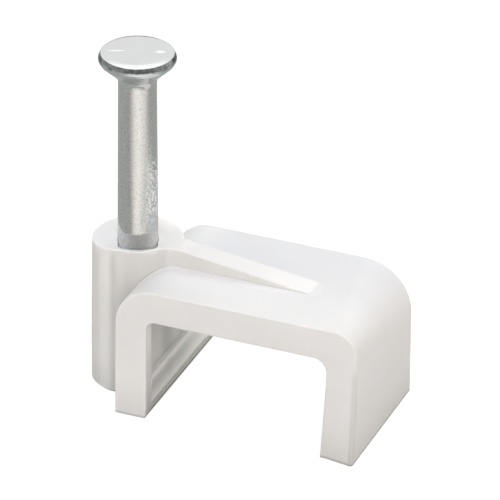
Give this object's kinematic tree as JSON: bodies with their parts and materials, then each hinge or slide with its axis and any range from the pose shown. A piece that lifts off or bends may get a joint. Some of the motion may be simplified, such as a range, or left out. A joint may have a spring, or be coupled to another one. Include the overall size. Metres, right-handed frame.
{
  "type": "nail-in cable clip",
  "caption": "U-shaped moulded plastic cable clip with a nail boss beside one leg, a rib across its bridge and a steel masonry nail held part-driven in the boss.",
  "frame": {"origin": "where the nail's axis meets the wall, in the plane that the clip's feet rest on", "axes": "+X from the nail across the cable channel to the free leg, +Y along the cable, +Z away from the wall along the nail towards its head"},
  "size_m": [0.0152, 0.0089, 0.0183],
  "materials": {
    "white_plastic": "smooth moulded natural white polymer, slightly translucent, satin",
    "plated_steel": "bright zinc plating with fine pits and drawing marks"
  },
  "bodies": {
    "root": {"clip_body": "white_plastic", "nail": "plated_steel"}
  },
  "joints": []
}
